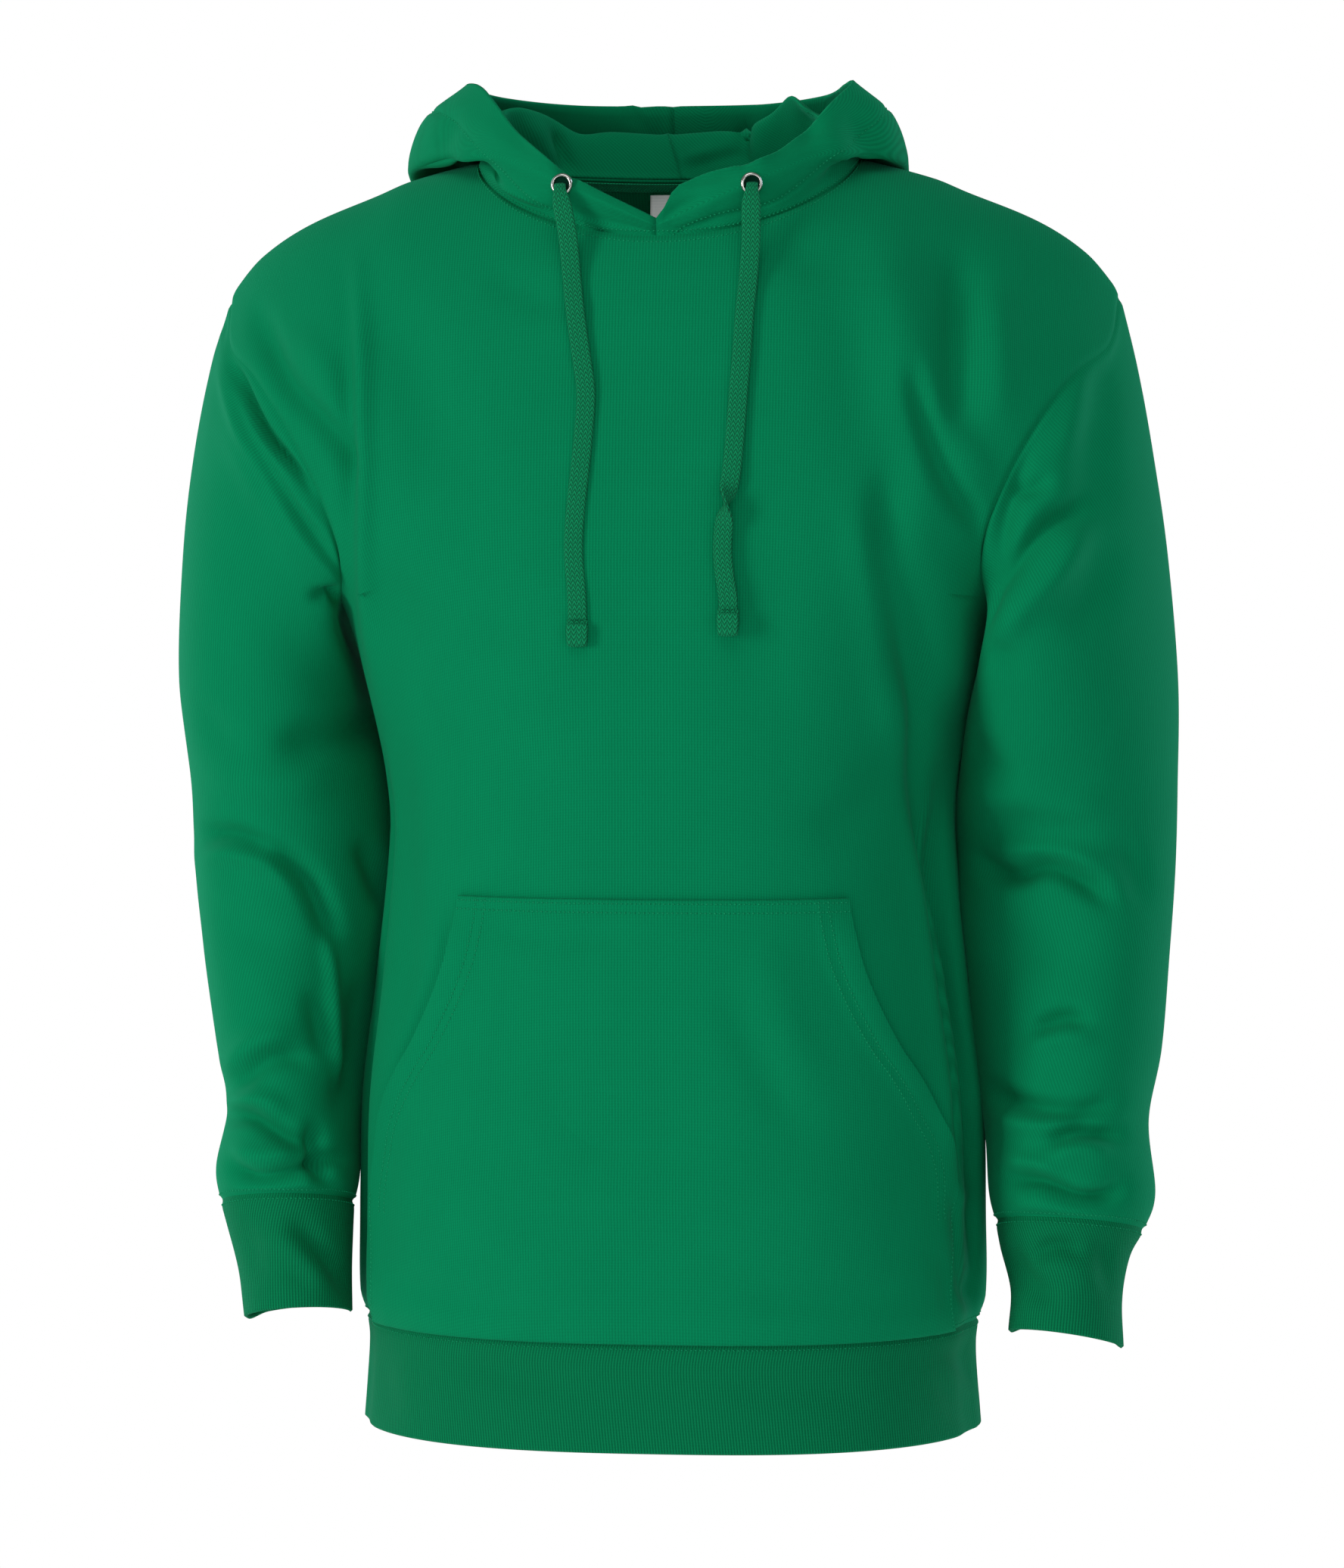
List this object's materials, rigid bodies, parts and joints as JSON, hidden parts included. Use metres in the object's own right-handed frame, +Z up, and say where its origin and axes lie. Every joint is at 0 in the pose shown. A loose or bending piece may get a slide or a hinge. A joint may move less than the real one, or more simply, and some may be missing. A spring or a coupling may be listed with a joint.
{
  "type": "pullover hoodie",
  "caption": "Long-sleeved pullover hoodie in green fleece, filled out as worn, with its hood down, a front pocket, rib cuffs and band and hanging drawcords.",
  "frame": {"origin": "in the neck opening, at the height of the shoulder line, in the middle of the garment's width and at its side seams' depth", "axes": "+Z up, -Y out of the garment's front, +X towards the wearer's left, the right of a front view"},
  "size_m": [0.5705, 0.2795, 0.7575],
  "materials": {
    "fleece": "knitted cotton-blend fleece with a fine vertical rib of stitches and a soft matt face",
    "rib": "1x1 rib knit, matt",
    "tape": "herringbone twill tape",
    "label": "smooth white woven label, blank",
    "eyelet_metal": "nickel-plated, polished",
    "braid": "flat braided cotton cord"
  },
  "bodies": {
    "root": {"front_panel": "fleece", "back_panel": "fleece", "sleeve_left": "fleece", "sleeve_right": "fleece", "hood_left": "fleece", "hood_right": "fleece", "pocket": "fleece", "cuff_left": "rib", "cuff_right": "rib", "waistband": "rib", "neck_tape": "tape", "neck_label": "label", "eyelet_left": "eyelet_metal", "eyelet_right": "eyelet_metal", "drawcord_left": "braid", "drawcord_right": "braid", "cord_tip_left": "braid", "cord_tip_right": "braid"}
  },
  "joints": []
}
